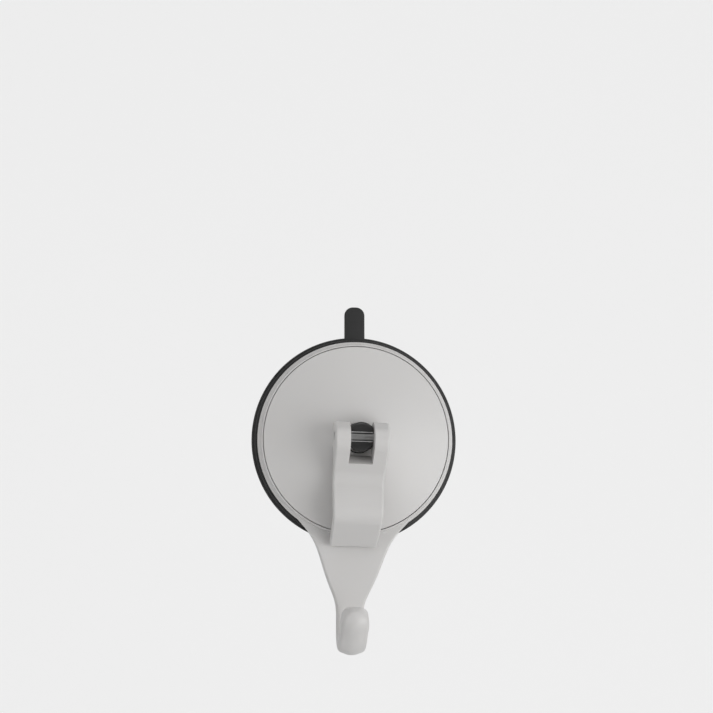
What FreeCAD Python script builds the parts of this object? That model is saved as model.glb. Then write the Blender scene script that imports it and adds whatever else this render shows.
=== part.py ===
import FreeCAD, Part
import Sketcher
import math
import os

# Lever suction hook, in millimetres.
# The origin is the centre of the suction face, on the wall plane y = 0.
# The wall is at +Y, the front at -Y, and +Z is up, so a depth off the wall is -y.
# It is built as it hangs in use: the lever is down and the stud pulls the cup's middle forward.

Vector = FreeCAD.Vector

# Two places closer than this count as one
CLOSE = 0.01
# An edge that runs across by more than this share of its length is left sharp
MOSTLY_ACROSS = 0.5
# Sections along the hook's bend
BEND_STEPS = 5
# Sections in the tongue's rounded end, as shares of its radius from the ball's centre
BALL_SECTIONS = (0.45, 0.75, 0.92, 0.985)

SIZES = [
    ("cut_margin", 2.0, "how far cuts and buried ends run past their faces"),
    # Gel pad and suction cup
    ("gel_inset", 0.85, "gel pad inside the flange's edge"),
    ("gel_thickness", 2.0, "gel pad"),
    ("dish_inner_radius", 11.0, "flat middle of the cup, pulled forward"),
    ("sealing_band", 13.85, "width of the band that stays on the wall"),
    ("dish_rounding", 30.0, "rounding where the dish bends"),
    ("cup_flange_overhang", 1.1, "rubber flange beyond the step"),
    ("cup_flange_thickness", 2.0, "rubber flange"),
    ("cup_step_overhang", 1.05, "rubber step beyond the plate"),
    ("cup_rim_thickness", 4.0, "rubber under the plate"),
    ("cup_edge_rounding", 0.5, "rubber edges"),
    ("cup_rim_inset", 0.3, "thick rubber rim outside the plate's opening"),
    ("cup_rim_slope", 1.2, "width of the slope inside the thick rim"),
    ("cup_membrane_thickness", 2.5, "rubber between rim and boss"),
    ("cup_boss_radius", 12.5, "rubber boss round the stud's foot"),
    ("cup_boss_draft", 0.5, "boss, taken in at its top"),
    ("cup_boss_rounding", 1.0, "boss, at its foot and its top"),
    ("tab_width", 8.1, "pull tab"),
    ("tab_length", 12.45, "pull tab beyond the flange"),
    ("tab_root_thickness", 2.2, "pull tab at the flange"),
    ("tab_tip_thickness", 1.5, "pull tab at its end"),
    ("tab_rounding", 3.4, "corners of the pull tab"),
    # Stud
    ("stud_radius", 5.75, "stud's shaft"),
    ("nose_height", 2.6, "stud's nose in front of the pin"),
    ("nose_crown", 0.35, "how far the nose is domed"),
    ("nose_rounding", 1.4, "edge of the nose"),
    ("stud_foot_radius", 10.0, "foot moulded into the boss"),
    ("stud_foot_thickness", 2.6, "foot moulded into the boss"),
    ("stud_foot_cover", 2.5, "rubber behind the foot"),
    ("boss_cover", 2.5, "rubber in front of the foot"),
    ("moulding_gap", 0.05, "between stud and rubber"),
    ("mouth_half", 1.6, "half the mouth that snaps over the pin"),
    ("mouth_rounding", 0.35, "edges of the mouth"),
    ("stud_flat_half", 4.3, "half the width over the stud's flats"),
    ("stud_flat_margin", 0.3, "flats start this far behind the cam tracks"),
    ("pin_radius", 2.0, "steel pin"),
    ("pin_running_gap", 0.05, "pin in the stud"),
    ("pin_press_gap", 0.01, "pin in the lever"),
    ("pin_recess", 0.2, "pin's ends below the lever's sides"),
    ("pin_chamfer", 0.3, "pin's ends"),
    # Hook plate, its ring
    ("plate_back", 6.0, "ring's back off the wall"),
    ("plate_lip_width", 1.95, "ring outside the seam"),
    ("plate_back_rounding", 0.6, "ring's back edge"),
    ("brim_thickness", 2.1, "ring's outer edge, back to front"),
    ("brim_rounding", 0.5, "ring's front edge"),
    ("brim_width", 1.05, "flat of the brim"),
    ("brim_slope", 0.35, "how far the brim rises over its flat"),
    ("brim_hollow", 1.1, "hollow where the brim turns up into the lip"),
    ("lip_thickness", 0.45, "top of the lip round the dome"),
    ("lip_rounding", 0.3, "top of the lip round the dome"),
    ("plate_ledge_thickness", 2.0, "ledge that carries the dome"),
    ("plate_ledge_width", 5.0, "ledge that carries the dome"),
    # Dome cover
    ("dome_radius", 36.5, "dome, outside"),
    ("dome_edge_height", 3.3, "dome's edge over the ledge"),
    ("dome_crown_share", 1.644, "radius of the dome's spherical middle, to its outside"),
    ("dome_reach_share", 0.493, "where the crown turns into the flank, to its outside"),
    ("dome_flank_share", 8.22, "radius of the dome's flank, to its outside"),
    ("dome_wall", 2.5, "dome's wall"),
    ("dome_edge_rounding", 0.35, "dome's outer edge"),
    ("seam_gap", 0.25, "between dome and ring"),
    ("skirt_wall", 2.0, "skirt that centres the dome in the ring"),
    ("skirt_length", 1.6, "skirt below the ledge's front"),
    ("guide_gap", 0.2, "stud in the dome's guide"),
    ("guide_wall", 3.0, "guide tube"),
    ("guide_clearance", 2.25, "guide tube in front of the rubber boss"),
    ("rib_thickness", 1.8, "stiffening ribs inside the dome"),
    ("rib_count", 6, "stiffening ribs inside the dome"),
    ("rib_lift", 1.2, "ribs in front of the skirt's back edge"),
    ("track_inner", 4.9, "cam tracks, from the middle"),
    ("track_outer", 10.2, "cam tracks, from the middle"),
    ("track_half", 3.6, "half the height of the cam tracks"),
    # Lever; places are from the pin, forward and up
    ("cam_radius", 6.43, "round cam"),
    ("cam_throw", 1.1, "cam's centre from the pin"),
    ("cam_lean", 37.5, "direction of the throw below the way back, degrees"),
    ("cam_flat", 0.9, "flat that seats the lever when it is down"),
    ("cam_end", 120.0, "where the cam leaves its circle, degrees"),
    ("cam_heel_turn", 45.0, "turn from the flat into the heel, degrees"),
    ("cam_running_gap", 0.1, "cam off its tracks"),
    ("lever_half_top", 10.55, "half the lever's width at its top"),
    ("lever_half_tip", 9.25, "half the lever's width at its tip"),
    ("lever_taper_top", 8.0, "height where the taper starts"),
    ("lever_taper_margin", 0.4, "taper's end below the tip"),
    ("lever_edge_rounding", 0.9, "lever's long edges"),
    ("beak_forward", 11.7, "corner of the beak"),
    ("beak_rounding", 5.9, "beak"),
    ("waist_front_forward", -4.9, "front corner of the waist"),
    ("waist_front_height", -15.6, "front corner of the waist"),
    ("waist_front_rounding", 6.0, "front of the waist"),
    ("grip_front_forward", 0.3, "front corner of the grip"),
    ("grip_front_height", -30.6, "front corner of the grip"),
    ("grip_front_rounding", 7.0, "front of the grip"),
    ("tip_slant", 1.85, "front corner of the tip in front of its back corner"),
    ("tip_drop", 3.1, "front corner of the tip below its back corner"),
    ("tip_front_rounding", 1.6, "front of the tip"),
    ("lever_stop_gap", 0.1, "tip's back corner, before its rounding, off the arm"),
    ("tip_reach", 0.8, "back corner of the tip below the ring's edge"),
    ("tip_back_rounding", 1.4, "back of the tip"),
    ("grip_back_forward", -5.2, "back corner of the grip"),
    ("grip_back_height", -30.2, "back corner of the grip"),
    ("grip_back_rounding", 2.5, "back of the grip"),
    ("waist_back_forward", -8.6, "back corner of the waist"),
    ("waist_back_height", -19.1, "back corner of the waist"),
    ("waist_back_rounding", 9.0, "back of the waist"),
    ("heel_forward", -4.1, "inside corner under the cam"),
    ("heel_height", -7.5, "inside corner under the cam"),
    ("heel_rounding", 1.5, "inside corner under the cam"),
    ("slot_half", 4.6, "half the slot that the stud stands in"),
    ("slot_floor_front_forward", 0.9, "slot's floor at the lever's front"),
    ("slot_floor_front_height", -10.3, "slot's floor at the lever's front"),
    ("slot_floor_back_forward", -5.8, "slot's floor at the lever's back"),
    ("slot_floor_back_height", -6.3, "slot's floor at the lever's back"),
    # Hook plate, its bend and tongue
    ("bend_forward", 13.2, "centre of the hook's bend off the wall"),
    ("bend_drop", 32.35, "centre of the hook's bend below the ring's edge"),
    ("bend_radius", 9.4, "hook's bend, along its middle"),
    ("bend_turn", 145.0, "turn of the hook's bend, degrees"),
    ("tongue_length", 8.5, "bend's end to the ball's centre"),
    ("hook_half", 5.25, "half the hook's width"),
    ("stem_half", 5.1, "half the stem's width"),
    ("hook_thickness", 6.2, "hook's bend"),
    ("tongue_thickness", 7.4, "foot of the tongue"),
    ("ball_thickness", 10.4, "rounded end of the tongue"),
    ("swell_power", 3.0, "how late in the bend its thickness grows"),
    ("tongue_swell_place", 0.5, "section between bend and ball, as a share of the tongue"),
    ("tongue_swell", 0.72, "share of the ball's thickness reached there"),
    ("hook_ridge", 1.9, "soft ridge round the outside of the hook"),
    ("ridge_start", 0.4, "share of the ridge at the start of the bend"),
    ("ridge_swell", 0.2, "ridge gained with the ball's thickness"),
    ("arm_ridge", 0.15, "soft ridge on the arm's back"),
    ("arm_edge_rounding", 0.9, "arm's long edges"),
    ("hook_edge_rounding", 1.9, "hook's long edges"),
    ("edge_start", 0.5, "share of the hook's rounding at the start of the bend"),
    ("edge_swell", 0.25, "rounding gained with the ball's thickness"),
    ("outer_edge_share", 0.8, "outer edges' rounding against the inner ones'"),
    ("hook_ridge_rounding", 7.0, "ridge of the hook"),
    # Cores in the arm's back
    ("core_wall", 2.4, "arm's side walls beside the cores"),
    ("core_front_wall", 2.6, "arm's front wall over the cores"),
    ("core_rib_half", 0.9, "half the rib between the cores"),
    ("core_rounding", 0.8, "cores' corners"),
    ("core_top_drop", 4.3, "cores' upper end below the ring's edge"),
    ("core_bottom_drop", 17.3, "cores' lower end below the ring's edge"),
]

# The arm's stations: height below the ring's edge, front and back off the wall, half width
ARM_STATIONS = [
    ("inside", -8.7, 8.7, 6.75, 23.2),
    ("root", -3.7, 8.6, 6.6, 19.1),
    ("shoulder", 2.3, 8.8, 5.9, 14.9),
    ("upper", 7.3, 9.2, 4.5, 12.75),
    ("middle", 13.3, 8.9, 2.9, 10.6),
    ("lower", 19.3, 7.8, 1.4, 8.15),
    ("neck", 25.3, 7.0, 0.8, 5.75),
]

doc = FreeCAD.newDocument("suction_hook")
sheet = doc.addObject("Spreadsheet::Sheet", "Sizes")
named = []


class Size:
    """A number together with the sheet formula that it comes from."""

    def __init__(self, value, formula):
        self.value = float(value)
        self.formula = formula

    def __add__(self, other):
        other = as_size(other)
        return Size(self.value + other.value, f"({self.formula} + {other.formula})")

    def __sub__(self, other):
        other = as_size(other)
        return Size(self.value - other.value, f"({self.formula} - {other.formula})")

    def __mul__(self, other):
        other = as_size(other)
        return Size(self.value * other.value, f"({self.formula} * {other.formula})")

    def __truediv__(self, other):
        other = as_size(other)
        return Size(self.value / other.value, f"({self.formula} / {other.formula})")

    def __radd__(self, other):
        return as_size(other) + self

    def __rsub__(self, other):
        return as_size(other) - self

    def __rmul__(self, other):
        return as_size(other) * self

    def __neg__(self):
        return Size(-self.value, f"(0 - {self.formula})")


def as_size(number):
    return number if isinstance(number, Size) else Size(number, f"({number})")


def sine(angle):
    return Size(math.sin(math.radians(angle.value)), f"sin({angle.formula})")


def cosine(angle):
    return Size(math.cos(math.radians(angle.value)), f"cos({angle.formula})")


def root(square):
    return Size(math.sqrt(square.value), f"sqrt({square.formula})")


def least(first, second):
    first, second = as_size(first), as_size(second)
    return Size(min(first.value, second.value), f"min({first.formula}; {second.formula})")


def write_cell(alias, value, note):
    """Adds one named cell under the last one."""
    named.append(alias)
    row = len(named)
    sheet.set(f"A{row}", alias)
    sheet.set(f"B{row}", str(value))
    sheet.setAlias(f"B{row}", alias)
    sheet.set(f"C{row}", note)


def fill_sheet():
    for alias, value, note in SIZES:
        write_cell(alias, value, note)
    for name, drop, front, back, half in ARM_STATIONS:
        cells = [("drop", drop), ("front", front), ("back", back), ("half", half)]
        for word, value in cells:
            write_cell(f"arm_{name}_{word}", value, f"arm's {name} station")
    doc.recompute()


def size(alias):
    return Size(sheet.get(alias), f"Sizes.{alias}")


def worked_out(alias, value):
    """Keeps a size that follows from others as a cell of its own, with its formula."""
    write_cell(alias, f"={value.formula.replace('Sizes.', '')}", "worked out")
    return Size(value.value, f"Sizes.{alias}")


def new_body(name):
    body = doc.addObject("PartDesign::Body", name)
    body.Label = name
    return body


def new_sketch(body, name, plane):
    sketch = body.newObject("Sketcher::SketchObject", name)
    origin = [o for o in body.Origin.OriginFeatures if o.Role == plane][0]
    sketch.AttachmentSupport = (origin, "")
    sketch.MapMode = "FlatFace"
    return sketch


def place_point(rules, bound, geometry, end, x, y):
    """Ties one point of a sketch to its two sizes, or to an axis where a size is nought."""
    for word, number, axis in (("DistanceX", x, -2), ("DistanceY", y, -1)):
        if number.value == 0:
            rules.append(Sketcher.Constraint("PointOnObject", geometry, end, axis))
        else:
            bound.append((len(rules), number.formula))
            rules.append(
                Sketcher.Constraint(word, -1, 1, geometry, end, number.value)
            )


def draw_outline(sketch, corners):
    """Draws one closed outline; a corner is (x, y) or (x, y, rounding)."""
    corners = [tuple(as_size(n) for n in corner) for corner in corners]
    points = [Vector(c[0].value, c[1].value, 0) for c in corners]
    count = len(corners)
    arrive, leave, arcs = [], [], {}
    for i, corner in enumerate(corners):
        here = points[i]
        if len(corner) == 2:
            arrive.append(here)
            leave.append(here)
            continue
        back = (points[i - 1] - here).normalize()
        ahead = (points[(i + 1) % count] - here).normalize()
        half = back.getAngle(ahead) / 2
        inward = (back + ahead).normalize()
        radius = corner[2].value
        arrive.append(here + back * (radius / math.tan(half)))
        leave.append(here + ahead * (radius / math.tan(half)))
        middle = here + inward * (radius / math.sin(half) - radius)
        arcs[i] = Part.Arc(arrive[i], middle, leave[i])
    first = sketch.GeometryCount
    lines = list(range(first, first + count))
    for i in range(count):
        sketch.addGeometry(Part.LineSegment(leave[i], arrive[(i + 1) % count]), False)
    rules, bound = [], []
    for i, corner in enumerate(corners):
        before, after = lines[i - 1], lines[i]
        if i not in arcs:
            rules.append(Sketcher.Constraint("Coincident", before, 2, after, 1))
            place_point(rules, bound, after, 1, corner[0], corner[1])
            continue
        arc = sketch.addGeometry(arcs[i], False)
        starts = sketch.getPoint(arc, 1).distanceToPoint(arrive[i])
        ends = sketch.getPoint(arc, 2).distanceToPoint(arrive[i])
        near, far = (1, 2) if starts < ends else (2, 1)
        rules.append(Sketcher.Constraint("Tangent", before, 2, arc, near))
        rules.append(Sketcher.Constraint("Tangent", arc, far, after, 1))
        bound.append((len(rules), corner[2].formula))
        rules.append(Sketcher.Constraint("Radius", arc, corner[2].value))
        mark = sketch.addGeometry(Part.Point(points[i]), True)
        rules.append(Sketcher.Constraint("PointOnObject", mark, 1, before))
        rules.append(Sketcher.Constraint("PointOnObject", mark, 1, after))
        place_point(rules, bound, mark, 1, corner[0], corner[1])
    offset = sketch.ConstraintCount
    sketch.addConstraint(rules)
    for index, formula in bound:
        sketch.setExpression(f"Constraints[{offset + index}]", formula)


def draw_chain(sketch, stations):
    """Draws a closed outline of lines and arcs; a station is (x, y) or, where an arc that
    bulges to the front leads to it from the station before, (x, y, radius)."""
    stations = [tuple(as_size(n) for n in s) for s in stations]
    points = [Vector(s[0].value, s[1].value, 0) for s in stations]
    count = len(stations)
    rules, bound, pieces = [], [], []
    for i in range(count):
        begin, target = points[i], points[(i + 1) % count]
        arrival = stations[(i + 1) % count]
        if len(arrival) == 2:
            pieces.append((sketch.addGeometry(Part.LineSegment(begin, target), False), 1, 2))
            continue
        radius = arrival[2].value
        chord = target - begin
        half = chord.Length / 2
        across = Vector(-chord.y, chord.x, 0).normalize()
        if across.y < 0:
            across = across * -1
        middle = (begin + target) / 2
        sunk = math.sqrt(radius**2 - half**2)
        top = middle + across * (sunk - radius)
        arc = sketch.addGeometry(Part.Arc(begin, top, target), False)
        starts = sketch.getPoint(arc, 1).distanceToPoint(begin) < CLOSE
        pieces.append((arc, 1, 2) if starts else (arc, 2, 1))
        bound.append((len(rules), arrival[2].formula))
        rules.append(Sketcher.Constraint("Radius", arc, radius))
    for i in range(count):
        before, here = pieces[i - 1], pieces[i]
        rules.append(Sketcher.Constraint("Coincident", before[0], before[2], here[0], here[1]))
        place_point(rules, bound, here[0], here[1], stations[i][0], stations[i][1])
    offset = sketch.ConstraintCount
    sketch.addConstraint(rules)
    for index, formula in bound:
        sketch.setExpression(f"Constraints[{offset + index}]", formula)


def draw_circle(sketch, x, y, radius):
    centre = Vector(x.value, y.value, 0)
    geometry = sketch.addGeometry(Part.Circle(centre, Vector(0, 0, 1), radius.value), False)
    rules, bound = [], []
    place_point(rules, bound, geometry, 3, x, y)
    bound.append((len(rules), radius.formula))
    rules.append(Sketcher.Constraint("Radius", geometry, radius.value))
    offset = sketch.ConstraintCount
    sketch.addConstraint(rules)
    for index, formula in bound:
        sketch.setExpression(f"Constraints[{offset + index}]", formula)


def revolve(body, name, corners, feature="PartDesign::Revolution", draw=draw_outline):
    """Turns an outline of (radius, depth off the wall) once round the stud's axis."""
    sketch = new_sketch(body, f"{name}_outline", "XY_Plane")
    draw(sketch, [(c[0], -as_size(c[1]), *c[2:]) for c in corners])
    turned = body.newObject(feature, name)
    turned.Profile = sketch
    turned.ReferenceAxis = (sketch, ["V_Axis"])
    turned.Angle = 360
    doc.recompute()
    return turned


def pad(body, name, sketch, length, symmetric=False, reverse=False):
    grown = body.newObject("PartDesign::Pad", name)
    grown.Profile = sketch
    grown.SideType = "Symmetric" if symmetric else "One side"
    grown.Reversed = reverse
    grown.setExpression("Length", length.formula)
    doc.recompute()
    return grown


def cut_through(body, name, sketch):
    """Cuts a sketch right through the body, both ways."""
    cut = body.newObject("PartDesign::Pocket", name)
    cut.Profile = sketch
    cut.SideType = "Symmetric"
    cut.Type = "ThroughAll"
    doc.recompute()
    return cut


def edges_where(shape, test):
    return [f"Edge{i + 1}" for i, edge in enumerate(shape.Edges) if test(edge)]


def round_edges(body, name, test, radius):
    base = body.Tip
    fillet = body.newObject("PartDesign::Fillet", name)
    fillet.Base = (base, edges_where(base.Shape, test))
    fillet.setExpression("Radius", radius.formula)
    doc.recompute()
    return fillet


fill_sheet()

plate_radius = worked_out(
    "plate_radius", size("dome_radius") + size("seam_gap") + size("plate_lip_width")
)
opening_radius = worked_out("opening_radius", size("dome_radius") - size("plate_ledge_width"))
cup_step_radius = worked_out("cup_step_radius", plate_radius + size("cup_step_overhang"))
cup_radius = worked_out("cup_radius", cup_step_radius + size("cup_flange_overhang"))
band_radius = worked_out("band_radius", cup_radius - size("sealing_band"))
gel_front = worked_out("gel_front", size("gel_thickness"))
travel = worked_out("travel", 2 * size("cam_throw") * cosine(size("cam_lean")))
cup_back = worked_out("cup_back", gel_front + travel)
foot_back = worked_out("foot_back", cup_back + size("stud_foot_cover"))
foot_front = worked_out("foot_front", foot_back + size("stud_foot_thickness"))
boss_front = worked_out("boss_front", foot_front + size("boss_cover"))
ledge_front = worked_out("ledge_front", size("plate_back") + size("plate_ledge_thickness"))


class DomeCurve:
    """The dome's outside, or its inside at a given inset: a crown and a flatter flank.
    Its depths are measured from the dome's top."""

    def __init__(self, inset):
        whole = size("dome_radius")
        crown = whole * size("dome_crown_share")
        flank = whole * size("dome_flank_share")
        reach = whole * size("dome_reach_share")
        lean_sine = reach / crown
        lean_cosine = root(1 - lean_sine * lean_sine)
        self.crown = crown - inset
        self.flank = flank - inset
        self.crown_centre = -crown
        self.flank_out = reach - flank * lean_sine
        self.flank_centre = -crown + (crown - flank) * lean_cosine
        self.turn_radius = self.crown * lean_sine
        self.turn_depth = self.crown_centre + self.crown * lean_cosine

    def crown_depth(self, radius):
        return self.crown_centre + root(self.crown * self.crown - radius * radius)

    def flank_depth(self, radius):
        across = radius - self.flank_out
        return self.flank_centre + root(self.flank * self.flank - across * across)


dome_outside = DomeCurve(as_size(0))
dome_inside = DomeCurve(size("dome_wall"))
dome_edge = worked_out("dome_edge", ledge_front + size("dome_edge_height"))
dome_top = worked_out("dome_top", dome_edge - dome_outside.flank_depth(size("dome_radius")))
cam_reach = worked_out("cam_reach", size("cam_radius") + size("cam_throw") * cosine(size("cam_lean")))
pin_depth = worked_out("pin_depth", dome_top + size("cam_running_gap") + cam_reach)
doc.recompute()


def build_gel_pad():
    """Soft clear pad, bonded to the back of the cup; its outer band seals on the wall."""
    body = new_body("gel_pad")
    inner, outer = size("dish_inner_radius"), cup_radius - size("gel_inset")
    bend = size("dish_rounding")
    revolve(body, "gel_disc", [
        (0, travel),
        (inner, travel, bend),
        (band_radius, 0, bend),
        (outer, 0),
        (outer, gel_front),
        (band_radius, gel_front, bend),
        (inner, cup_back, bend),
        (0, cup_back),
    ])


def build_suction_cup():
    """Rubber disc with a stepped edge, a boss round the stud's foot and a pull tab."""
    body = new_body("suction_cup")
    inner = size("dish_inner_radius")
    bend = size("dish_rounding")
    gap = size("moulding_gap")
    flange_front = gel_front + size("cup_flange_thickness")
    rim_front = gel_front + size("cup_rim_thickness")
    web = size("cup_membrane_thickness")
    rim_inside = opening_radius + size("cup_rim_inset")
    boss = size("cup_boss_radius")
    edge = size("cup_edge_rounding")
    revolve(body, "cup_disc", [
        (0, cup_back),
        (inner, cup_back, bend),
        (band_radius, gel_front, bend),
        (cup_radius, gel_front),
        (cup_radius, flange_front, edge),
        (cup_step_radius, flange_front),
        (cup_step_radius, rim_front),
        (rim_inside, rim_front),
        (rim_inside - size("cup_rim_slope"), gel_front + web),
        (band_radius, gel_front + web, bend),
        (boss, cup_back + web, size("cup_boss_rounding")),
        (boss - size("cup_boss_draft"), boss_front, size("cup_boss_rounding")),
        (size("stud_radius") + gap, boss_front),
        (size("stud_radius") + gap, foot_front + gap),
        (size("stud_foot_radius") + gap, foot_front + gap),
        (size("stud_foot_radius") + gap, foot_back - gap),
        (0, foot_back - gap),
    ])
    side = new_sketch(body, "tab_side", "YZ_Plane")
    hidden = cup_step_radius - size("cut_margin")
    tab_top = cup_radius + size("tab_length")
    draw_outline(side, [
        (-gel_front, hidden),
        (-gel_front, tab_top),
        (-(gel_front + size("tab_tip_thickness")), tab_top),
        (-(gel_front + size("tab_root_thickness")), hidden),
    ])
    pad(body, "tab", side, size("tab_width"), symmetric=True)
    top, half = tab_top.value, size("tab_width").value / 2

    def tab_corner(edge):
        middle = edge.CenterOfMass
        return abs(middle.z - top) < CLOSE and abs(abs(middle.x) - half) < CLOSE

    round_edges(body, "tab_corners", tab_corner, size("tab_rounding"))


def build_stud():
    """Hard post that the lever pulls: a foot in the rubber, flats and a mouth for the pin."""
    body = new_body("stud")
    post = size("stud_radius")
    nose_front = worked_out("nose_front", pin_depth + size("nose_height"))
    doc.recompute()
    revolve(body, "post", [
        (0, foot_back),
        (size("stud_foot_radius"), foot_back),
        (size("stud_foot_radius"), foot_front),
        (post, foot_front),
        (post, nose_front - size("nose_crown"), size("nose_rounding")),
        (0, nose_front),
    ])
    flats = new_sketch(body, "flats_outline", "XY_Plane")
    flat_start = dome_top - size("stud_flat_margin")
    beyond = nose_front + size("cut_margin")
    for side in (-1, 1):
        draw_outline(flats, [
            (side * size("stud_flat_half"), -flat_start),
            (side * 2 * post, -flat_start),
            (side * 2 * post, -beyond),
            (side * size("stud_flat_half"), -beyond),
        ])
    cut_through(body, "flats", flats)
    bore = new_sketch(body, "bore_outline", "YZ_Plane")
    draw_circle(bore, -pin_depth, as_size(0), size("pin_radius") + size("pin_running_gap"))
    cut_through(body, "pin_bore", bore)
    mouth = new_sketch(body, "mouth_outline", "YZ_Plane")
    draw_outline(mouth, [
        (-pin_depth, -size("mouth_half")),
        (-pin_depth, size("mouth_half")),
        (-beyond, size("mouth_half")),
        (-beyond, -size("mouth_half")),
    ])
    cut_through(body, "pin_mouth", mouth)
    pin_front = (pin_depth + size("pin_radius")).value

    def mouth_edge(edge):
        middle = edge.CenterOfMass
        beside = abs(abs(middle.z) - size("mouth_half").value) < CLOSE
        return beside and -middle.y > pin_front

    round_edges(body, "mouth_edges", mouth_edge, size("mouth_rounding"))


def build_dome_cover():
    """Domed shell on the ring's ledge, with the stud's guide, ribs and two cam tracks."""
    body = new_body("dome_cover")
    wall = size("dome_wall")
    outer, inner = dome_outside, dome_inside
    bore = worked_out("guide_bore", size("stud_radius") + size("guide_gap"))
    tube = worked_out("guide_outside", bore + size("guide_wall"))
    edge = size("dome_radius")
    skirt = worked_out("skirt_outside", opening_radius - size("seam_gap"))
    skirt_in = worked_out("skirt_inside", skirt - size("skirt_wall"))
    skirt_back = worked_out("skirt_back", ledge_front - size("skirt_length"))
    guide_end = worked_out("guide_end", boss_front + size("guide_clearance"))
    doc.recompute()
    revolve(body, "shell", [
        (bore, dome_top + outer.crown_depth(bore)),
        (outer.turn_radius, dome_top + outer.turn_depth, outer.crown),
        (edge, dome_edge, outer.flank),
        (edge, ledge_front),
        (skirt, ledge_front),
        (skirt, skirt_back),
        (skirt_in, skirt_back),
        (skirt_in, dome_top + inner.flank_depth(skirt_in)),
        (inner.turn_radius, dome_top + inner.turn_depth, inner.flank),
        (tube, dome_top + inner.crown_depth(tube), inner.crown),
        (tube, guide_end),
        (bore, guide_end),
    ], draw=draw_chain)

    rib = new_sketch(body, "rib_outline", "XY_Plane")
    sunk = wall / 2
    draw_outline(rib, [
        (tube - sunk, -guide_end),
        (skirt_in + sunk / 2, -(skirt_back + size("rib_lift"))),
        (skirt_in + sunk / 2, -(dome_top + inner.flank_depth(skirt_in) + sunk)),
        (inner.turn_radius, -(dome_top + inner.turn_depth + sunk)),
        (tube - sunk, -(dome_top + inner.crown_depth(tube) + sunk)),
    ])
    first = pad(body, "rib", rib, size("rib_thickness"), symmetric=True)
    ribs = body.newObject("PartDesign::PolarPattern", "ribs")
    ribs.Originals = [first]
    ribs.Axis = (rib, ["V_Axis"])
    ribs.Angle = 360
    ribs.setExpression("Occurrences", "Sizes.rib_count")
    body.Tip = ribs
    doc.recompute()

    tracks = new_sketch(body, "tracks_outline", "XZ_Plane")
    for side in (-1, 1):
        draw_outline(tracks, [
            (side * size("track_inner"), -size("track_half")),
            (side * size("track_outer"), -size("track_half")),
            (side * size("track_outer"), size("track_half")),
            (side * size("track_inner"), size("track_half")),
        ])
    tracks.setExpression("AttachmentOffset.Base.z", (dome_top - wall).formula)
    doc.recompute()
    pad(body, "cam_tracks", tracks, wall)
    bore_sketch = new_sketch(body, "guide_outline", "XZ_Plane")
    draw_circle(bore_sketch, as_size(0), as_size(0), bore)
    cut_through(body, "guide_hole", bore_sketch)

    def outer_edge(found):
        at_rim = abs(found.CenterOfMass.y + dome_edge.value) < CLOSE
        return at_rim and found.Length > math.pi * edge.value

    round_edges(body, "dome_edge", outer_edge, size("dome_edge_rounding"))


def build_hook_plate():
    """Ring that presses the rubber, with a cored arm and a hook with a rounded tongue."""
    body = new_body("hook_plate")
    back = size("plate_back")
    seat = worked_out("seat_radius", size("dome_radius") + size("seam_gap"))
    doc.recompute()
    buried = opening_radius - size("cut_margin")
    brim_front = back + size("brim_thickness")
    revolve(body, "ring_blank", [
        (buried, back),
        (plate_radius, back, size("plate_back_rounding")),
        (plate_radius, brim_front, size("brim_rounding")),
        (plate_radius - size("brim_width"), brim_front + size("brim_slope"), size("brim_hollow")),
        (seat + size("lip_thickness"), dome_edge, size("lip_rounding")),
        (seat, dome_edge),
        (buried, dome_edge),
    ])
    sections = [station_sketch(body, *station) for station in hook_stations()]
    loft = body.newObject("PartDesign::AdditiveLoft", "arm_and_hook")
    loft.Profile = sections[0]
    loft.Sections = sections[1:]
    doc.recompute()
    beyond = dome_top
    revolve(body, "dome_seat", [
        (0, ledge_front),
        (seat, ledge_front),
        (seat, beyond),
        (0, beyond),
    ], "PartDesign::Groove")
    revolve(body, "cup_opening", [
        (0, back / 2),
        (opening_radius, back / 2),
        (opening_radius, beyond),
        (0, beyond),
    ], "PartDesign::Groove")
    cut_cores(body)


def hook_stations():
    """Stations along the arm and hook: name, depth, height, turn, half width, thickness,
    ridge, edge rounding and ridge rounding."""
    found = []
    arm_edge, hook_edge = size("arm_edge_rounding"), size("hook_edge_rounding")
    ridge_round = size("hook_ridge_rounding")
    for name, *_ in ARM_STATIONS:
        front = size(f"arm_{name}_front")
        rear = size(f"arm_{name}_back")
        height = -(plate_radius + size(f"arm_{name}_drop"))
        half = size(f"arm_{name}_half")
        found.append((
            f"arm_{name}", (front + rear) / 2, height, as_size(0), half, front - rear,
            size("arm_ridge"), arm_edge, ridge_round,
        ))
    thick, tongue = size("hook_thickness"), size("tongue_thickness")
    ball = size("ball_thickness")
    out, bend = size("bend_forward"), size("bend_radius")
    up = -(plate_radius + size("bend_drop"))
    whole = size("bend_turn")
    ridge = size("hook_ridge")
    power = sheet.get("swell_power")
    for step in range(BEND_STEPS + 1):
        share = step / BEND_STEPS
        turn = whole * share
        found.append((
            f"bend_{step}", out - bend * cosine(turn), up - bend * sine(turn), turn,
            size("stem_half") + (size("hook_half") - size("stem_half")) * share,
            thick + (tongue - thick) * share**power,
            ridge * least(1, size("ridge_start") + share),
            arm_edge + (hook_edge - arm_edge) * least(1, size("edge_start") + share),
            ridge_round,
        ))
    foot_depth = out - bend * cosine(whole)
    foot_height = up - bend * sine(whole)
    length = size("tongue_length")
    places = [
        ("tongue", length * size("tongue_swell_place"), 1, size("tongue_swell")),
        ("ball", length, 1, 1),
    ]
    for number, along in enumerate(BALL_SECTIONS):
        places.append((f"end_{number}", length + ball / 2 * along, math.sqrt(1 - along**2), 1))
    swell = ball - tongue
    for name, along, shrink, share in places:
        found.append((
            name, foot_depth + sine(whole) * along, foot_height - cosine(whole) * along, whole,
            size("hook_half") * shrink,
            (tongue + swell * share) * shrink,
            (ridge + swell * size("ridge_swell")) * shrink,
            (hook_edge + swell * size("edge_swell") * share) * shrink,
            ridge_round * shrink,
        ))
    return found


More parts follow.
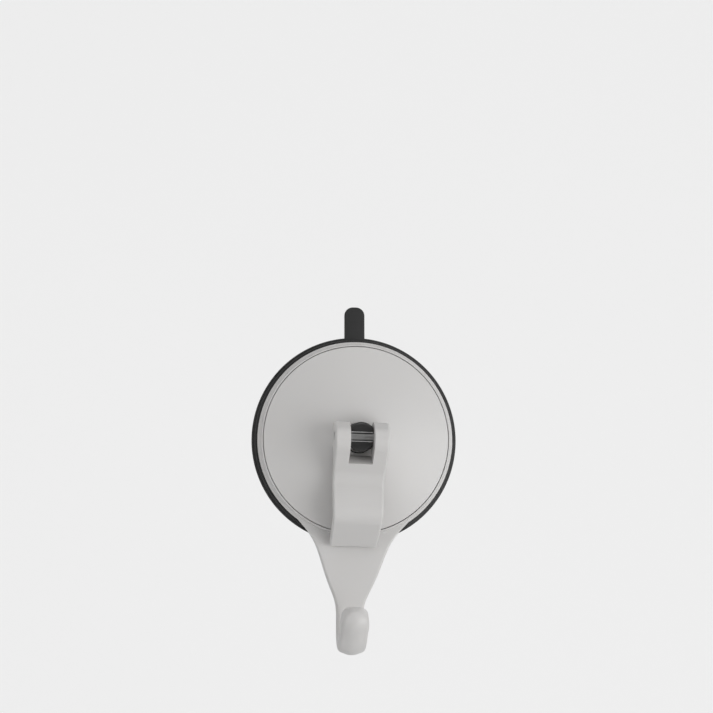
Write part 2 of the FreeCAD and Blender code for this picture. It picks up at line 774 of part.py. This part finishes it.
def station_sketch(body, name, depth, height, turn, half, thick, ridge, edge, ridge_round):
    """One cross-section: flat inside, straight sides and a soft ridge outside."""
    sketch = new_sketch(body, name, "XY_Plane")
    outer_edge = edge * size("outer_edge_share")
    draw_outline(sketch, [
        (-half, -thick / 2, edge),
        (half, -thick / 2, edge),
        (half, thick / 2 - ridge, outer_edge),
        (0, thick / 2, ridge_round),
        (-half, thick / 2 - ridge, outer_edge),
    ])
    sketch.AttachmentOffset = FreeCAD.Placement(
        Vector(0, -depth.value, height.value),
        FreeCAD.Rotation(Vector(1, 0, 0), -turn.value),
    )
    sketch.setExpression("AttachmentOffset.Base.y", (-depth).formula)
    sketch.setExpression("AttachmentOffset.Base.z", height.formula)
    doc.recompute()
    return sketch


def cut_cores(body):
    """Two cores in the arm's back, beside a rib, that leave walls of even thickness."""
    drops = (size("core_top_drop"), size("core_bottom_drop"))
    upper = (size("arm_upper_half"), size("arm_upper_front"), size("arm_upper_drop"))
    lower = (size("arm_lower_half"), size("arm_lower_front"), size("arm_lower_drop"))
    for name, side in (("left", -1), ("right", 1)):
        sketches = []
        for level, drop in zip(("top", "bottom"), drops):
            share = (drop - upper[2]) / (lower[2] - upper[2])
            half = upper[0] + (lower[0] - upper[0]) * share - size("core_wall")
            floor = upper[1] + (lower[1] - upper[1]) * share - size("core_front_wall")
            sketch = new_sketch(body, f"core_{name}_{level}", "XY_Plane")
            draw_outline(sketch, [
                (side * size("core_rib_half"), size("cut_margin")),
                (side * half, size("cut_margin")),
                (side * half, -floor, size("core_rounding")),
                (side * size("core_rib_half"), -floor, size("core_rounding")),
            ])
            sketch.setExpression("AttachmentOffset.Base.z", (-(plate_radius + drop)).formula)
            sketches.append(sketch)
        doc.recompute()
        core = body.newObject("PartDesign::SubtractiveLoft", f"core_{name}")
        core.Profile = sketches[0]
        core.Sections = sketches[1:]
        core.Ruled = True
        doc.recompute()


def build_cam_lever():
    """Bent lever: a slotted head with two round cam cheeks, a waist, a grip and a flat tip."""
    body = new_body("cam_lever")
    cam = size("cam_radius")
    centre_down = size("cam_throw") * sine(size("cam_lean"))
    end = size("cam_end")
    crest_height = worked_out("crest_height", cam * (1 - cosine(end)) / sine(end) - centre_down)
    heel_turn = size("cam_heel_turn")
    heel_tangent = cam * (1 - cosine(heel_turn)) / sine(heel_turn)
    seat_height = worked_out("seat_height", -(centre_down + size("cam_flat") + heel_tangent))
    beak_rise = (size("beak_forward") + cam_reach) * cosine(end) / sine(end)
    beak_height = worked_out("beak_height", crest_height + beak_rise)
    tip_stop = size("arm_shoulder_front") + size("lever_stop_gap")
    tip_back = worked_out("tip_back_forward", tip_stop - pin_depth)
    tip_height = worked_out("tip_back_height", -(plate_radius + size("tip_reach")))
    taper_end = tip_height - size("tip_drop") - size("lever_taper_margin")
    worked_out("lever_taper_end", taper_end)
    doc.recompute()
    pin = pin_depth
    corners = [
        (-cam_reach, crest_height, cam),
        (-cam_reach, seat_height, cam),
        (size("heel_forward"), size("heel_height"), size("heel_rounding")),
        (size("waist_back_forward"), size("waist_back_height"), size("waist_back_rounding")),
        (size("grip_back_forward"), size("grip_back_height"), size("grip_back_rounding")),
        (tip_back, tip_height, size("tip_back_rounding")),
        (tip_back + size("tip_slant"), tip_height - size("tip_drop"), size("tip_front_rounding")),
        (size("grip_front_forward"), size("grip_front_height"), size("grip_front_rounding")),
        (size("waist_front_forward"), size("waist_front_height"), size("waist_front_rounding")),
        (size("beak_forward"), beak_height, size("beak_rounding")),
    ]
    side = new_sketch(body, "side_outline", "YZ_Plane")
    draw_outline(side, [(-(pin + c[0]), *c[1:]) for c in corners])
    widest = size("lever_half_top")
    pad(body, "blank", side, 2 * widest, symmetric=True)

    front = new_sketch(body, "taper_outline", "XZ_Plane")
    for way in (-1, 1):
        draw_outline(front, [
            (way * widest, size("lever_taper_top")),
            (way * size("lever_half_tip"), taper_end),
            (way * 2 * widest, taper_end),
            (way * 2 * widest, size("lever_taper_top")),
        ])
    cut_through(body, "taper", front)

    def side_edge(edge):
        direction = edge.tangentAt(edge.FirstParameter)
        beside = abs(edge.CenterOfMass.x) > size("lever_half_tip").value / 2
        return beside and abs(direction.x) < MOSTLY_ACROSS

    round_edges(body, "soft_edges", side_edge, size("lever_edge_rounding"))

    slot = new_sketch(body, "slot_outline", "YZ_Plane")
    front_point = (size("slot_floor_front_forward"), size("slot_floor_front_height"))
    back_point = (size("slot_floor_back_forward"), size("slot_floor_back_height"))
    slope = (front_point[1] - back_point[1]) / (front_point[0] - back_point[0])
    far_front = size("beak_forward") + size("cut_margin")
    far_back = -(cam_reach + size("cut_margin"))
    draw_outline(slot, [
        (-(pin + far_back), back_point[1] + slope * (far_back - back_point[0])),
        (-(pin + far_front), back_point[1] + slope * (far_front - back_point[0])),
        (-(pin + far_front), 2 * cam),
        (-(pin + far_back), 2 * cam),
    ])
    cut = body.newObject("PartDesign::Pocket", "stud_slot")
    cut.Profile = slot
    cut.SideType = "Symmetric"
    cut.Type = "Length"
    cut.setExpression("Length", (2 * size("slot_half")).formula)
    doc.recompute()

    bore = new_sketch(body, "bore_outline", "YZ_Plane")
    draw_circle(bore, -pin, as_size(0), size("pin_radius") + size("pin_press_gap"))
    cut_through(body, "pin_bore", bore)


def build_pivot_pin():
    """Plain steel pin, pressed into the lever's cheeks."""
    body = new_body("pivot_pin")
    sketch = new_sketch(body, "pin_outline", "YZ_Plane")
    draw_circle(sketch, -pin_depth, as_size(0), size("pin_radius"))
    drop = size("lever_taper_top") / (size("lever_taper_top") - size("lever_taper_end"))
    half = size("lever_half_top") - (size("lever_half_top") - size("lever_half_tip")) * drop
    pad(body, "pin", sketch, 2 * (half - size("pin_recess")), symmetric=True)
    pin = body.Tip
    chamfer = body.newObject("PartDesign::Chamfer", "pin_ends")
    ends = edges_where(pin.Shape, lambda edge: abs(edge.CenterOfMass.x) > size("slot_half").value)
    chamfer.Base = (pin, ends)
    chamfer.setExpression("Size", "Sizes.pin_chamfer")
    doc.recompute()


build_gel_pad()
build_suction_cup()
build_stud()
build_dome_cover()
build_hook_plate()
build_cam_lever()
build_pivot_pin()

doc.recompute()
bodies = [o for o in doc.Objects if o.TypeId == "PartDesign::Body"]
for item in doc.Objects:
    if "Invalid" in item.State or "Error" in item.State:
        raise RuntimeError(f"{item.Label} did not build: {item.State}")
for body in bodies:
    if body.Shape.isNull() or not body.Shape.isValid():
        raise RuntimeError(f"{body.Label} has no valid shape")
os.makedirs("parts", exist_ok=True)
for body in bodies:
    body.Shape.exportStep(f"parts/{body.Label}.step")
    print(body.Label, len(body.Shape.Solids), round(body.Shape.Volume, 1), body.Shape.BoundBox)
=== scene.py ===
import math

import bpy
import numpy as np
from mathutils import Matrix


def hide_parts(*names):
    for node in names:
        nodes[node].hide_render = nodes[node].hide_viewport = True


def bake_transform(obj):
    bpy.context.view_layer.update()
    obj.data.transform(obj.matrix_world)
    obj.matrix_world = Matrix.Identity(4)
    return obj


# The looks of a lever suction hook, in the frame of its solids: the wall is the plane y = 0,
# the front is at -Y and up is +Z. Shapes are given in millimetres and MM turns them into
# metres. Lamps are given in metres.

MM = 0.001

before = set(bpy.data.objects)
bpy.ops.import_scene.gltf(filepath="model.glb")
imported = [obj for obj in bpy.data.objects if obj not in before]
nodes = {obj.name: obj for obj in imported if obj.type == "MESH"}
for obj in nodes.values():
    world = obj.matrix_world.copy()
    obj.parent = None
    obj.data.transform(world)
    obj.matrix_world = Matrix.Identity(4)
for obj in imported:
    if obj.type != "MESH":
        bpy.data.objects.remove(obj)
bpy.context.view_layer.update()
bpy.context.scene.view_settings.view_transform = "Standard"


# Placing a camera or a lamp


def way_back(azimuth, elevation):
    """The unit step from the object towards a camera or lamp, from angles in degrees."""
    azimuth, elevation = math.radians(azimuth), math.radians(elevation)
    return np.array([
        math.sin(azimuth) * math.cos(elevation),
        -math.cos(azimuth) * math.cos(elevation),
        math.sin(elevation),
    ])


def put_in_scene(name, data, place, back, roll=0.0):
    """Adds a camera or lamp at a place in metres, looking against back, rolled in degrees."""
    right = np.cross([0.0, 0.0, 1.0], back)
    right /= np.linalg.norm(right)
    up = np.cross(back, right)
    cosine, sine = math.cos(math.radians(roll)), math.sin(math.radians(roll))
    columns = (cosine * right + sine * up, cosine * up - sine * right, back, place)
    matrix = Matrix.Identity(4)
    for row in range(3):
        for column, vector in enumerate(columns):
            matrix[row][column] = vector[row]
    item = bpy.data.objects.new(name, data)
    item.matrix_world = matrix
    bpy.context.scene.collection.objects.link(item)
    return item


# Camera: place in millimetres, angles in degrees, clipping in metres

CAMERA_PLACE = (-60.28, -577.72, -28.58)
CAMERA_AZIMUTH = -5.981
CAMERA_ELEVATION = -6.13
CAMERA_ROLL = 1.663
FOCAL_PIXELS = 1450.0
IMAGE_PIXELS = 713.0
SENSOR = 36.0
CLIP_NEAR = 0.01
CLIP_FAR = 20.0


def make_camera():
    data = bpy.data.cameras.new("camera")
    data.sensor_width = SENSOR
    data.lens = FOCAL_PIXELS / IMAGE_PIXELS * SENSOR
    data.clip_start = CLIP_NEAR
    data.clip_end = CLIP_FAR
    back = way_back(CAMERA_AZIMUTH, CAMERA_ELEVATION)
    camera = put_in_scene("camera", data, np.array(CAMERA_PLACE) * MM, back, CAMERA_ROLL)
    bpy.context.scene.camera = camera


# Materials


class Shader:
    """A node material and short ways to wire it."""

    def __init__(self, name):
        self.material = bpy.data.materials.new(name)
        self.material.use_nodes = True
        self.tree = self.material.node_tree
        self.tree.nodes.clear()
        self.output = self.add("ShaderNodeOutputMaterial")
        self.surface = self.add("ShaderNodeBsdfPrincipled")
        self.link(self.surface, "BSDF", self.output, "Surface")
        self.place = self.add("ShaderNodeTexCoord")

    def add(self, kind, **settings):
        node = self.tree.nodes.new(kind)
        for key, value in settings.items():
            setattr(node, key, value)
        return node

    def link(self, source, out, target, into):
        self.tree.links.new(source.outputs[out], target.inputs[into])

    def set(self, **values):
        for key, value in values.items():
            self.surface.inputs[key.replace("_", " ")].default_value = value

    def noise(self, scale, detail, rough, stretch=(1, 1, 1)):
        """Noise in the object's own space; scale counts its swirls to the metre."""
        mapping = self.add("ShaderNodeMapping")
        mapping.inputs["Scale"].default_value = stretch
        self.link(self.place, "Object", mapping, "Vector")
        noise = self.add("ShaderNodeTexNoise")
        noise.inputs["Scale"].default_value = scale
        noise.inputs["Detail"].default_value = detail
        noise.inputs["Roughness"].default_value = rough
        self.link(mapping, "Vector", noise, "Vector")
        return noise

    def ramp(self, noise, span, first, second):
        """Turns noise within a span of its values into a colour or grey between two."""
        ramp = self.add("ShaderNodeValToRGB")
        for element, position, colour in zip(ramp.color_ramp.elements, span, (first, second)):
            element.position = position
            element.color = colour
        self.link(noise, "Fac", ramp, "Fac")
        return ramp

    def colour(self, noise, span, first, second):
        ramp = self.ramp(noise, span, first, second)
        self.link(ramp, "Color", self.surface, "Base Color")

    def roughness(self, noise, span, first, second):
        ramp = self.ramp(noise, span, grey(first), grey(second))
        self.link(ramp, "Color", self.surface, "Roughness")

    def soft_edge(self, radius):
        """A normal that rounds the edges of the mesh by a radius in millimetres."""
        bevel = self.add("ShaderNodeBevel", samples=6)
        bevel.inputs["Radius"].default_value = radius * MM
        return bevel

    def bump(self, noise, strength, distance, under=None):
        """A normal shaped by noise, of a height in millimetres, over another normal."""
        bump = self.add("ShaderNodeBump")
        bump.inputs["Strength"].default_value = strength
        bump.inputs["Distance"].default_value = distance * MM
        self.link(noise, "Fac", bump, "Height")
        if under is not None:
            self.link(under, "Normal", bump, "Normal")
        return bump

    def shape(self, normal):
        self.link(normal, "Normal", self.surface, "Normal")

    def fade(self, source, out, start, full):
        """Goes smoothly from 0 at start to 1 at full, both in millimetres."""
        fade = self.add("ShaderNodeMapRange", interpolation_type="SMOOTHSTEP")
        self.link(source, out, fade, "Value")
        fade.inputs["From Min"].default_value = start * MM
        fade.inputs["From Max"].default_value = full * MM
        return fade


def grey(value, warm=0.0):
    """An opaque grey, tipped towards red and away from blue by the share warm."""
    return (value * (1 + warm), value, value * (1 - warm), 1.0)


# Tones, and the spans of a noise's values over which a colour or roughness changes

WHITE = 0.68
WHITE_IN_FLOW = WHITE * 0.985
MIDDLE = (0.3, 0.7)
UPPER = (0.35, 0.75)
WIDE = (0.3, 0.75)


def white_plastic(name):
    """Glossy white moulded plastic: faint flow in its colour, fine polish marks, soft edges."""
    shader = Shader(name)
    flow = shader.noise(scale=38, detail=3, rough=0.5)
    shader.colour(flow, MIDDLE, grey(WHITE_IN_FLOW, warm=0.018), grey(WHITE, warm=0.012))
    polish = shader.noise(scale=380, detail=5, rough=0.6)
    shader.roughness(polish, WIDE, 0.37, 0.42)
    edge = shader.soft_edge(radius=0.25)
    sink = shader.noise(scale=45, detail=2, rough=0.4)
    wave = shader.bump(sink, strength=0.015, distance=0.3, under=edge)
    grain = shader.noise(scale=2600, detail=3, rough=0.6)
    shader.shape(shader.bump(grain, strength=0.03, distance=0.02, under=wave))
    shader.set(IOR=1.5, Subsurface_Weight=0.06, Subsurface_Scale=1.5 * MM)
    shader.set(Subsurface_Radius=(1.0, 0.9, 0.8))
    return shader.material


def dark_rubber(name):
    """Charcoal moulded rubber: satin, with a fine grain and a faint bloom."""
    shader = Shader(name)
    bloom = shader.noise(scale=60, detail=5, rough=0.6)
    shader.colour(bloom, UPPER, grey(0.016), grey(0.026))
    patches = shader.noise(scale=240, detail=4, rough=0.6)
    shader.roughness(patches, MIDDLE, 0.42, 0.58)
    sink = shader.noise(scale=160, detail=3, rough=0.5)
    wave = shader.bump(sink, strength=0.12, distance=0.25)
    grain = shader.noise(scale=3200, detail=3, rough=0.6)
    shader.shape(shader.bump(grain, strength=0.25, distance=0.03, under=wave))
    shader.set(IOR=1.5)
    return shader.material


def clear_gel(name):
    """Clear soft gel, faintly cloudy, with a tacky dimpled skin."""
    shader = Shader(name)
    cloud = shader.noise(scale=90, detail=4, rough=0.6)
    shader.colour(cloud, MIDDLE, (0.86, 0.9, 0.92, 1), (0.95, 0.97, 0.98, 1))
    shader.roughness(cloud, MIDDLE, 0.08, 0.2)
    dimples = shader.noise(scale=420, detail=3, rough=0.5)
    shader.shape(shader.bump(dimples, strength=0.18, distance=0.08))
    shader.set(IOR=1.43, Transmission_Weight=0.92)
    return shader.material


# Painted highlight on the lips of the stud's mouth: half heights, places along Y and a ragged
# border

LIP_ENDS_HALF = 2.1
LIP_FULL_HALF = 1.85
LIP_STARTS_AT = -29.2
LIP_FULL_AT = -30.0
LIP_RAGGED = 0.25
LIP_HIGHLIGHT_TONE = 0.62

# Sockets of the colour mix node, by number because some of them share a name

MIX_SHARE = 0
MIX_FIRST = 6
MIX_SECOND = 7
MIX_RESULT = 2


def painted_lip_highlight(shader):
    """1 where the highlight is painted on the lips of the stud's mouth round the pin, and 0
    elsewhere.
    """
    parts = shader.add("ShaderNodeSeparateXYZ")
    shader.link(shader.place, "Object", parts, "Vector")
    height = shader.add("ShaderNodeMath", operation="ABSOLUTE")
    shader.link(parts, "Z", height, 0)
    ragged = shader.add("ShaderNodeMath", operation="MULTIPLY_ADD")
    shader.link(shader.noise(scale=900, detail=3, rough=0.6), "Fac", ragged, 0)
    ragged.inputs[1].default_value = LIP_RAGGED * MM
    shader.link(height, "Value", ragged, 2)
    near = shader.fade(ragged, "Value", LIP_ENDS_HALF, LIP_FULL_HALF)
    ahead = shader.fade(parts, "Y", LIP_STARTS_AT, LIP_FULL_AT)
    lip_highlight_share = shader.add("ShaderNodeMath", operation="MULTIPLY")
    shader.link(near, "Result", lip_highlight_share, 0)
    shader.link(ahead, "Result", lip_highlight_share, 1)
    return lip_highlight_share


def dark_gloss(name):
    """Polished dark hard plastic, with a highlight painted in light grey on the lips of its
    mouth round the pin.
    """
    shader = Shader(name)
    flow = shader.noise(scale=120, detail=4, rough=0.5)
    dark = shader.ramp(flow, MIDDLE, grey(0.018), grey(0.028))
    # Painted highlight: a light grey on the lips stands in for the light they catch
    highlighted = shader.add("ShaderNodeMix", data_type="RGBA")
    shader.link(painted_lip_highlight(shader), "Value", highlighted, MIX_SHARE)
    shader.link(dark, "Color", highlighted, MIX_FIRST)
    highlighted.inputs[MIX_SECOND].default_value = grey(LIP_HIGHLIGHT_TONE)
    shader.link(highlighted, MIX_RESULT, shader.surface, "Base Color")
    patches = shader.noise(scale=500, detail=4, rough=0.6)
    shader.roughness(patches, MIDDLE, 0.16, 0.26)
    sink = shader.noise(scale=300, detail=2, rough=0.5)
    edge = shader.soft_edge(radius=0.2)
    shader.shape(shader.bump(sink, strength=0.05, distance=0.1, under=edge))
    shader.set(IOR=1.52)
    return shader.material


def drawn_steel(name):
    """Steel pin with fine turned lines round it."""
    shader = Shader(name)
    lines = shader.noise(scale=900, detail=4, rough=0.6, stretch=(6, 0.2, 0.2))
    shader.colour(lines, MIDDLE, grey(0.27), grey(0.35, warm=0.01))
    shader.roughness(lines, MIDDLE, 0.3, 0.44)
    edge = shader.soft_edge(radius=0.15)
    shader.shape(shader.bump(lines, strength=0.2, distance=0.02, under=edge))
    shader.set(Metallic=1.0)
    return shader.material


BACKDROP_TONE = 0.8
BACKDROP_SHOWN = 0.93
BACKDROP_GLOW_SHARE = 0.8


def pale_backdrop(name):
    """Pale matt sweep, a little lighter than it is lit where it is seen straight or through
    the gel."""
    shader = Shader(name)
    shader.set(Base_Color=grey(BACKDROP_TONE), Roughness=0.9)
    glow = shader.add("ShaderNodeEmission")
    glow.inputs["Color"].default_value = grey(1.0)
    glow.inputs["Strength"].default_value = BACKDROP_SHOWN
    path = shader.add("ShaderNodeLightPath")
    seen = shader.add("ShaderNodeMath", operation="MAXIMUM")
    shader.link(path, "Is Camera Ray", seen, 0)
    shader.link(path, "Is Transmission Ray", seen, 1)
    share = shader.add("ShaderNodeMath", operation="MULTIPLY")
    shader.link(seen, "Value", share, 0)
    share.inputs[1].default_value = BACKDROP_GLOW_SHARE
    mix = shader.add("ShaderNodeMixShader")
    shader.link(share, "Value", mix, "Fac")
    shader.link(shader.surface, "BSDF", mix, 1)
    shader.link(glow, "Emission", mix, 2)
    shader.link(mix, "Shader", shader.output, "Surface")
    return shader.material


# Mesh helpers

ON_AXIS = 1e-6


def new_piece(name, points, faces, material):
    """A smooth mesh object from points in millimetres."""
    mesh = bpy.data.meshes.new(name)
    mesh.from_pydata([tuple(float(c) * MM for c in p) for p in points], [], faces)
    mesh.validate()
    mesh.update()
    piece = bpy.data.objects.new(name, mesh)
    bpy.context.scene.collection.objects.link(piece)
    mesh.materials.append(material)
    for polygon in mesh.polygons:
        polygon.use_smooth = True
    return piece


def rounded(corners, steps=6):
    """Turns (radius, depth[, rounding]) corners into points, with arcs at the roundings."""
    points = []
    count = len(corners)
    for i, corner in enumerate(corners):
        here = np.array(corner[:2], float)
        if len(corner) == 2:
            points.append(here)
            continue
        back = np.array(corners[i - 1][:2], float) - here
        ahead = np.array(corners[(i + 1) % count][:2], float) - here
        back /= np.linalg.norm(back)
        ahead /= np.linalg.norm(ahead)
        half = math.acos(np.clip(back @ ahead, -1, 1)) / 2
        inward = (back + ahead) / np.linalg.norm(back + ahead)
        centre = here + inward * corner[2] / math.sin(half)
        start = here + back * corner[2] / math.tan(half) - centre
        end = here + ahead * corner[2] / math.tan(half) - centre
        turn = math.atan2(start[0] * end[1] - start[1] * end[0], start @ end)
        for step in range(steps + 1):
            angle = turn * step / steps
            cosine, sine = math.cos(angle), math.sin(angle)
            points.append(centre + np.array([
                start[0] * cosine - start[1] * sine,
                start[0] * sine + start[1] * cosine,
            ]))
    return points


def divided(points, longest):
    """Adds points so that no run of the outline is longer than longest."""
    found = []
    for begin, end in zip(points, points[1:] + points[:1]):
        count = max(1, math.ceil(np.linalg.norm(end - begin) / longest))
        found += [begin + (end - begin) * step / count for step in range(count)]
    return found


def turned(outline, segments=256):
    """Turns a closed outline of (radius, depth) round the Y axis; depth is -y. A point on
    the axis stays one point, so the faces that meet there have three corners."""
    points, faces = [], []
    rings = []
    for radius, depth in outline:
        if radius < ON_AXIS:
            rings.append([len(points)] * segments)
            points.append((0.0, -depth, 0.0))
            continue
        first = len(points)
        rings.append(list(range(first, first + segments)))
        for i in range(segments):
            angle = 2 * math.pi * i / segments
            points.append((radius * math.sin(angle), -depth, radius * math.cos(angle)))
    for ring, after in zip(rings, rings[1:] + rings[:1]):
        for i in range(segments):
            j = (i + 1) % segments
            corner = [ring[i], after[i], after[j], ring[j]]
            face = [c for n, c in enumerate(corner) if c not in corner[:n]]
            if len(face) > 2:
                faces.append(face)
    return points, faces


def joined(parts):
    points, faces = [], []
    for more_points, more_faces in parts:
        offset = len(points)
        points += list(more_points)
        faces += [[c + offset for c in face] for face in more_faces]
    return points, faces


# Gel pad and suction cup: radii, depths in front of the wall and roundings of edges

TRAVEL = 1.745
DISH_RADIUS = 11.0
DISH_BEND = 30.0
STAY_ON_WALL = 27.0
LONGEST_RUN = 1.5

CUP_RADIUS = 40.85
FLANGE_OVERHANG = 1.1
STEP_RADIUS = CUP_RADIUS - FLANGE_OVERHANG

GEL_INSET = 0.85
GEL_RADIUS = CUP_RADIUS - GEL_INSET
GEL_FRONT = 2.0
GEL_WALL_EDGE = 0.4
GEL_CUP_EDGE = 0.25

CUP_BACK = GEL_FRONT + TRAVEL
FLANGE_THICKNESS = 2.0
FLANGE_FRONT = GEL_FRONT + FLANGE_THICKNESS
FLANGE_BACK_EDGE = 0.3
FLANGE_FRONT_EDGE = 0.6
STEP_FOOT = 0.25
RIM_THICKNESS = 4.0
RIM_FRONT = GEL_FRONT + RIM_THICKNESS
RIM_INSIDE = 31.8
RIM_SLOPE = 1.2
RIM_EDGE = 0.5
MEMBRANE = 2.5
BOSS_RADIUS = 12.5
BOSS_DRAFT = 0.5
BOSS_FRONT = 11.35
BOSS_EDGE = 1.0
FOOT_RADIUS = 5.8
FOOT_BACK = 8.9
CUP_TURN_DEGREES = -1.6


def bends_with_stud(piece):
    """Bakes the piece's transform into its mesh; the piece keeps the shape it was built with."""
    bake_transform(piece)


def make_gel_pad():
    """Dished pad on the cup's wall side, as it lies with its middle pulled off the wall."""
    outline = divided(rounded([
        (0, TRAVEL),
        (DISH_RADIUS, TRAVEL, DISH_BEND),
        (STAY_ON_WALL, 0.0, DISH_BEND),
        (GEL_RADIUS, 0.0, GEL_WALL_EDGE),
        (GEL_RADIUS, GEL_FRONT, GEL_CUP_EDGE),
        (STAY_ON_WALL, GEL_FRONT, DISH_BEND),
        (DISH_RADIUS, CUP_BACK, DISH_BEND),
        (0, CUP_BACK),
    ]), LONGEST_RUN)
    piece = new_piece("gel_pad_soft", *turned(outline), clear_gel("gel"))
    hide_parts("gel_pad")
    bends_with_stud(piece)


# Pull tab, with layers from front to back by inset and by share of the thickness

TAB_HALF = 4.05
TAB_LENGTH = 12.45
TAB_TOP = CUP_RADIUS + TAB_LENGTH
TAB_ROOT = 38.5
TAB_CORNER = 3.4
TAB_ROOT_THICKNESS = 2.2
TAB_TIP_THICKNESS = 1.5
TAB_LAYERS = (
    (0.7, 1.0), (0.42, 0.985), (0.2, 0.93), (0.06, 0.82),
    (0.0, 0.68), (0.0, 0.35), (0.05, 0.12), (0.25, 0.0),
)
TAB_SIDE_STEPS = 9
TAB_CORNER_STEPS = 10


def tab_outline(inset):
    """The tab's edge from root to root, a step inside its full outline."""
    side, end, bend = TAB_HALF - inset, TAB_TOP - inset, TAB_CORNER - inset
    straight = end - bend - TAB_ROOT
    outline = [(-side, TAB_ROOT + straight * i / TAB_SIDE_STEPS) for i in range(TAB_SIDE_STEPS)]
    for i in range(TAB_CORNER_STEPS + 1):
        angle = math.radians(180 - 90 * i / TAB_CORNER_STEPS)
        outline.append((
            -side + bend + bend * math.cos(angle),
            end - bend + bend * math.sin(angle),
        ))
    return outline + [(-x, z) for x, z in reversed(outline)]


def tab_mesh():
    """Pull tab: a tapered tongue with a round end and soft edges, moulded on the flange."""
    points, faces = [], []
    for inset, lift in TAB_LAYERS:
        for x, z in tab_outline(inset):
            share = (z - TAB_ROOT) / (TAB_TOP - TAB_ROOT)
            thick = TAB_ROOT_THICKNESS + (TAB_TIP_THICKNESS - TAB_ROOT_THICKNESS) * share
            points.append((x, -(GEL_FRONT + thick * lift), z))
    count = 2 * (TAB_SIDE_STEPS + TAB_CORNER_STEPS + 1)
    last_layer = len(TAB_LAYERS) - 1
    for level in range(last_layer):
        for i in range(count - 1):
            a = level * count + i
            b = a + count
            faces.append([a, b, b + 1, a + 1])
    for first, flip in ((0, False), (last_layer * count, True)):
        for i in range(count // 2 - 1):
            face = [first + i, first + i + 1, first + count - 2 - i, first + count - 1 - i]
            faces.append(face[::-1] if flip else face)
    return points, faces


def turn_about_stud(points, degrees):
    """Turns points round the Y axis; positive turns the top towards +X."""
    angle = math.radians(degrees)
    cosine, sine = math.cos(angle), math.sin(angle)
    return [(x * cosine + z * sine, y, z * cosine - x * sine) for x, y, z in points]


def make_suction_cup():
    """Stepped rubber disc with a boss round the stud's foot and the pull tab."""
    outline = divided(rounded([
        (0, CUP_BACK),
        (DISH_RADIUS, CUP_BACK, DISH_BEND),
        (STAY_ON_WALL, GEL_FRONT, DISH_BEND),
        (CUP_RADIUS, GEL_FRONT, FLANGE_BACK_EDGE),
        (CUP_RADIUS, FLANGE_FRONT, FLANGE_FRONT_EDGE),
        (STEP_RADIUS, FLANGE_FRONT, STEP_FOOT),
        (STEP_RADIUS, RIM_FRONT, RIM_EDGE),
        (RIM_INSIDE, RIM_FRONT, RIM_EDGE),
        (RIM_INSIDE - RIM_SLOPE, GEL_FRONT + MEMBRANE, RIM_EDGE),
        (STAY_ON_WALL, GEL_FRONT + MEMBRANE, DISH_BEND),
        (BOSS_RADIUS, CUP_BACK + MEMBRANE, BOSS_EDGE),
        (BOSS_RADIUS - BOSS_DRAFT, BOSS_FRONT, BOSS_EDGE),
        (FOOT_RADIUS, BOSS_FRONT),
        (FOOT_RADIUS, FOOT_BACK),
        (0, FOOT_BACK),
    ]), LONGEST_RUN)
    points, faces = joined([turned(outline), tab_mesh()])
    points = turn_about_stud(points, CUP_TURN_DEGREES)
    piece = new_piece("suction_cup_soft", points, faces, dark_rubber("cup_rubber"))
    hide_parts("suction_cup")
    bends_with_stud(piece)


# Rigid pieces, which keep their own shapes


def dress(node, material):
    mesh = nodes[node].data
    mesh.materials.clear()
    mesh.materials.append(material)


def dress_rigid_pieces():
    dress("hook_plate", white_plastic("plate_plastic"))
    dress("dome_cover", white_plastic("dome_plastic"))
    dress("cam_lever", white_plastic("lever_plastic"))
    dress("stud", dark_gloss("stud_plastic"))
    dress("pivot_pin", drawn_steel("pin_steel"))


# Floor and backdrop

FLOOR = -900.0
BACKDROP = 700.0
SWEEP = 350.0
SWEEP_STEPS = 16
STAGE_REACH = 9000.0
STAGE_HEIGHT = 6000.0


def make_stage():
    """A floor that sweeps up into a backdrop behind the object, with a wall far in front."""
    profile = [(-STAGE_REACH, STAGE_HEIGHT), (-STAGE_REACH, FLOOR), (BACKDROP - SWEEP, FLOOR)]
    for step in range(1, SWEEP_STEPS + 1):
        angle = math.pi / 2 * step / SWEEP_STEPS
        profile.append((
            BACKDROP - SWEEP + SWEEP * math.sin(angle),
            FLOOR + SWEEP - SWEEP * math.cos(angle),
        ))
    profile.append((BACKDROP, STAGE_HEIGHT))
    points = [(x, y, z) for x in (-STAGE_REACH, STAGE_REACH) for y, z in profile]
    count = len(profile)
    faces = [[i, i + count, i + count + 1, i + 1] for i in range(count - 1)]
    new_piece("backdrop", points, faces, pale_backdrop("backdrop"))


# Lamps, in metres and degrees

AIM = (0.0, 0.0, -0.02)
SKY_STRENGTH = 0.51


def lamp(name, azimuth, elevation, away, size, share):
    """An area lamp aimed at the object; share is what it adds to a face turned to it."""
    back = way_back(azimuth, elevation)
    data = bpy.data.lights.new(name, "AREA")
    data.shape = "SQUARE"
    data.size = size
    data.energy = share * math.pi ** 2 * away ** 2
    put_in_scene(name, data, np.array(AIM) + back * away, back)


def make_light():
    world = bpy.data.worlds.new("world")
    bpy.context.scene.world = world
    world.use_nodes = True
    sky = world.node_tree.nodes["Background"]
    sky.inputs["Color"].default_value = grey(1.0)
    sky.inputs["Strength"].default_value = SKY_STRENGTH
    lamp("key", azimuth=44, elevation=-8, away=1.2, size=0.9, share=0.49)
    lamp("fill", azimuth=-55, elevation=0, away=1.0, size=0.9, share=0.15)
    lamp("top", azimuth=5, elevation=62, away=1.0, size=0.5, share=0.08)
    lamp("rear", azimuth=150, elevation=35, away=0.6, size=0.4, share=0.12)


make_camera()
make_stage()
make_light()
dress_rigid_pieces()
make_gel_pad()
make_suction_cup()
